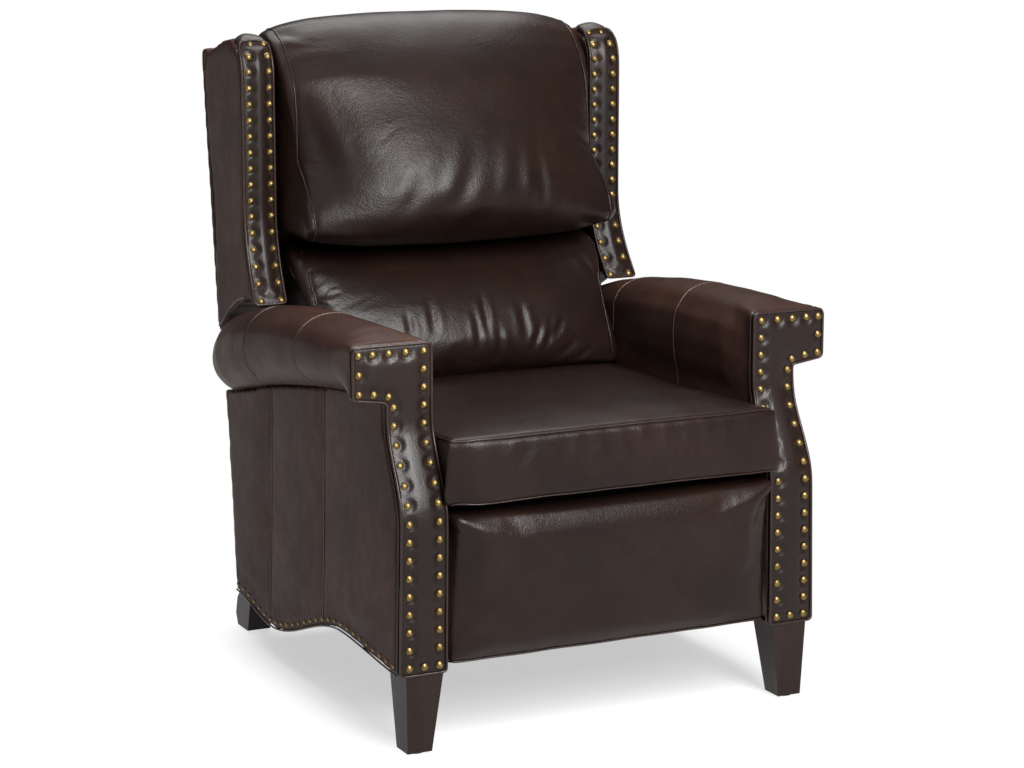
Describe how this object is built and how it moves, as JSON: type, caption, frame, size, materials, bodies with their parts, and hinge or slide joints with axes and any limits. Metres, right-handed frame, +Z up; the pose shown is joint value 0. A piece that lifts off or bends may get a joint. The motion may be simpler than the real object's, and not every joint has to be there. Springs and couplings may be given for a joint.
{
  "type": "wingback recliner",
  "caption": "Push-back wingback recliner in dark leather with nail-trimmed arms and wings, sliding seat, folding panel footrest and wooden legs.",
  "frame": {"origin": "on the floor, under the middle of the chair's bounding box", "axes": "+X to the sitter's left hand, -Y the way the sitter faces, +Z up"},
  "size_m": [0.82, 0.87, 1.076],
  "materials": {
    "leather": "dark espresso-brown leather with a soft gloss",
    "nail_brass": "antiqued brass nail heads",
    "leg_wood": "dark stained wood with satin lacquer",
    "frame_wood": "bare hardwood and plywood",
    "black_steel": "semi-gloss black paint on steel",
    "bright_steel": "zinc-plated steel",
    "cover_cloth": "black cambric cloth",
    "glide_nylon": "black nylon"
  },
  "bodies": {
    "base": {"arm_pad_left": "leather", "arm_pad_right": "leather", "arm_side_left": "leather", "arm_side_right": "leather", "arm_front_left": "leather", "arm_front_right": "leather", "arm_nails_left": "nail_brass", "arm_nails_right": "nail_brass", "scallop_nails_left": "nail_brass", "scallop_nails_right": "nail_brass", "arm_frame_left": "frame_wood", "arm_frame_right": "frame_wood", "front_cross_rail": "frame_wood", "rear_cross_rail": "frame_wood", "rear_panel": "leather", "dust_cover": "cover_cloth", "front_leg_left": "leg_wood", "front_leg_right": "leg_wood", "rear_leg_left": "leg_wood", "rear_leg_right": "leg_wood", "leg_bolts": "bright_steel", "glides": "glide_nylon", "track_left": "black_steel", "track_right": "black_steel"},
    "seat": {"seat_frame": "frame_wood", "seat_springs": "bright_steel", "seat_deck": "cover_cloth", "seat_cushion": "leather", "carriage_left": "black_steel", "carriage_right": "black_steel"},
    "rear_links": {"link_shaft": "bright_steel", "rear_link_left": "black_steel", "rear_link_right": "black_steel"},
    "rear_cross_links": {"rear_cross_link_left": "black_steel", "rear_cross_link_right": "black_steel"},
    "front_links": {"front_link_left": "black_steel", "front_link_right": "black_steel"},
    "front_cross_links": {"front_cross_link_left": "black_steel", "front_cross_link_right": "black_steel"},
    "control_links": {"control_link_left": "black_steel", "control_link_right": "black_steel"},
    "footrest": {"footrest_board": "frame_wood", "footrest_pad": "leather", "footrest_bracket_left": "black_steel", "footrest_bracket_right": "black_steel"},
    "back": {"back_frame": "frame_wood", "back_panel": "leather", "wing_left": "leather", "wing_right": "leather", "wing_front_left": "leather", "wing_front_right": "leather", "wing_nails_left": "nail_brass", "wing_nails_right": "nail_brass", "lumbar_cushion": "leather", "head_pillow": "leather", "back_bracket_left": "black_steel", "back_bracket_right": "black_steel"}
  },
  "joints": [
    {"name": "back_recline", "type": "hinge", "parent": "base", "child": "back", "pos_m": [0, 0.215, 0.4], "axis": [-1, 0, 0], "range_deg": [0, 32]},
    {"name": "seat_glide", "type": "slide", "parent": "base", "child": "seat", "axis": [0, -1, 0], "range_m": [0, 0.046]},
    {"name": "footrest_open", "type": "hinge", "parent": "seat", "child": "rear_links", "pos_m": [0, -0.285, 0.328], "axis": [-1, 0, 0], "range_deg": [0, 49]},
    {"name": "rear_cross_turn", "type": "hinge", "parent": "rear_links", "child": "rear_cross_links", "pos_m": [0, -0.30629, 0.24261], "axis": [-1, 0, 0], "range_deg": [-99, 0]},
    {"name": "front_link_turn", "type": "hinge", "parent": "rear_cross_links", "child": "front_links", "pos_m": [0, -0.31243, 0.3304], "axis": [-1, 0, 0], "range_deg": [0, 99]},
    {"name": "front_cross_turn", "type": "hinge", "parent": "rear_links", "child": "front_cross_links", "pos_m": [0, -0.32758, 0.15723], "axis": [-1, 0, 0], "range_deg": [-99, 0]},
    {"name": "footrest_turn", "type": "hinge", "parent": "front_cross_links", "child": "footrest", "pos_m": [0, -0.33986, 0.3328], "axis": [-1, 0, 0], "range_deg": [0, 138]},
    {"name": "control_turn", "type": "hinge", "parent": "front_links", "child": "control_links", "pos_m": [0, -0.34388, 0.20426], "axis": [-1, 0, 0], "range_deg": [-94.17, 0]}
  ],
  "couplings": [
    {"joint": "seat_glide", "follows": "back_recline", "m_per_rad": 0.080572},
    {"joint": "rear_cross_turn", "follows": "footrest_open", "ratio": -2},
    {"joint": "front_link_turn", "follows": "footrest_open", "ratio": 2},
    {"joint": "front_cross_turn", "follows": "footrest_open", "ratio": -2},
    {"joint": "footrest_turn", "follows": "footrest_open", "ratio": 2.7959},
    {"joint": "control_turn", "follows": "footrest_open", "ratio": -1.9015}
  ]
}
